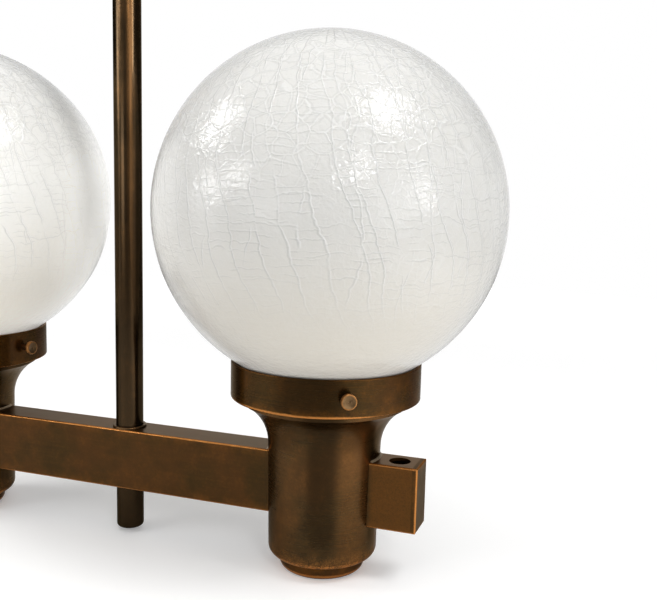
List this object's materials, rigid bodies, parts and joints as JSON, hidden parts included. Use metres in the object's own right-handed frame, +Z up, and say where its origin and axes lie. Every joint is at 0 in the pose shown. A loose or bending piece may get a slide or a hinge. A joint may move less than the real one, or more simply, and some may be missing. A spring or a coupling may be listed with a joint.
{
  "type": "pendant lamp",
  "caption": "Rigid-stem pendant lamp in dark patinated bronze: a flat bar across a round stem carries turned cups with galleries that hold opal crackle-glass globes.",
  "frame": {"origin": "centre of the bracket's upper face, on the ceiling and over the middle of the stem", "axes": "+Z up, X along the bar, -Y towards the pictured side"},
  "size_m": [0.464, 0.2, 0.781],
  "materials": {
    "dark_bronze": "dark mottled patina, satin",
    "worn_bronze": "rubbed patina, satin",
    "bright_brass": "bright",
    "zinc_steel": "zinc plated",
    "opal_glass": "glossy opal with a crackled surface",
    "bulb_glass": "frosted",
    "porcelain": "glazed",
    "white_plastic": "matte",
    "cable_sheath": "smooth"
  },
  "bodies": {
    "ceiling": {"ceiling_bracket": "zinc_steel", "pivot_bolt": "zinc_steel", "pivot_nut": "zinc_steel"},
    "lamp": {"stem_head": "dark_bronze", "terminal_block": "white_plastic", "stem_cable": "cable_sheath", "stem_tube": "dark_bronze", "stem_end_plug": "dark_bronze", "stem_washer": "dark_bronze", "stem_screw": "worn_bronze", "bar": "dark_bronze", "right_end_plate": "dark_bronze", "right_lead": "cable_sheath", "right_cup": "dark_bronze", "right_foot": "dark_bronze", "right_threaded_tube": "zinc_steel", "right_nuts": "zinc_steel", "right_gallery": "dark_bronze", "right_lampholder": "porcelain", "right_screw_shell": "bright_brass", "right_contact": "bright_brass", "left_end_plate": "dark_bronze", "left_lead": "cable_sheath", "left_cup": "dark_bronze", "left_foot": "dark_bronze", "left_threaded_tube": "zinc_steel", "left_nuts": "zinc_steel", "left_gallery": "dark_bronze", "left_lampholder": "porcelain", "left_screw_shell": "bright_brass", "left_contact": "bright_brass"},
    "canopy": {"canopy": "dark_bronze", "canopy_collar": "dark_bronze"},
    "canopy_screw": {"canopy_grub_screw": "worn_bronze"},
    "right_globe": {"right_globe": "opal_glass"},
    "right_bulb": {"right_bulb": "bulb_glass", "right_bulb_cap": "bright_brass"},
    "right_thumb_screw": {"right_thumb_screw": "worn_bronze"},
    "left_globe": {"left_globe": "opal_glass"},
    "left_bulb": {"left_bulb": "bulb_glass", "left_bulb_cap": "bright_brass"},
    "left_thumb_screw": {"left_thumb_screw": "worn_bronze"}
  },
  "joints": [
    {"name": "lamp_swing", "type": "hinge", "parent": "ceiling", "child": "lamp", "pos_m": [0, 0, -0.018], "axis": [1, 0, 0], "range_deg": [-3, 3]},
    {"name": "canopy_slide", "type": "slide", "parent": "lamp", "child": "canopy", "axis": [0, 0, -1], "range_m": [0, 0.15]},
    {"name": "canopy_screw_loosen", "type": "slide", "parent": "canopy", "child": "canopy_screw", "axis": [0, 1, 0], "range_m": [0, 0.002]},
    {"name": "right_globe_lift", "type": "slide", "parent": "lamp", "child": "right_globe", "axis": [0, 0, 1], "range_m": [0, 0.15]},
    {"name": "right_bulb_unscrew", "type": "slide", "parent": "lamp", "child": "right_bulb", "axis": [0, 0, 1], "range_m": [0, 0.03]},
    {"name": "right_thumb_screw_loosen", "type": "slide", "parent": "lamp", "child": "right_thumb_screw", "axis": [0.515, -0.8572, 0], "range_m": [0, 0.0045]},
    {"name": "left_globe_lift", "type": "slide", "parent": "lamp", "child": "left_globe", "axis": [0, 0, 1], "range_m": [0, 0.15]},
    {"name": "left_bulb_unscrew", "type": "slide", "parent": "lamp", "child": "left_bulb", "axis": [0, 0, 1], "range_m": [0, 0.03]},
    {"name": "left_thumb_screw_loosen", "type": "slide", "parent": "lamp", "child": "left_thumb_screw", "axis": [0.9976, -0.0698, 0], "range_m": [0, 0.0045]}
  ]
}
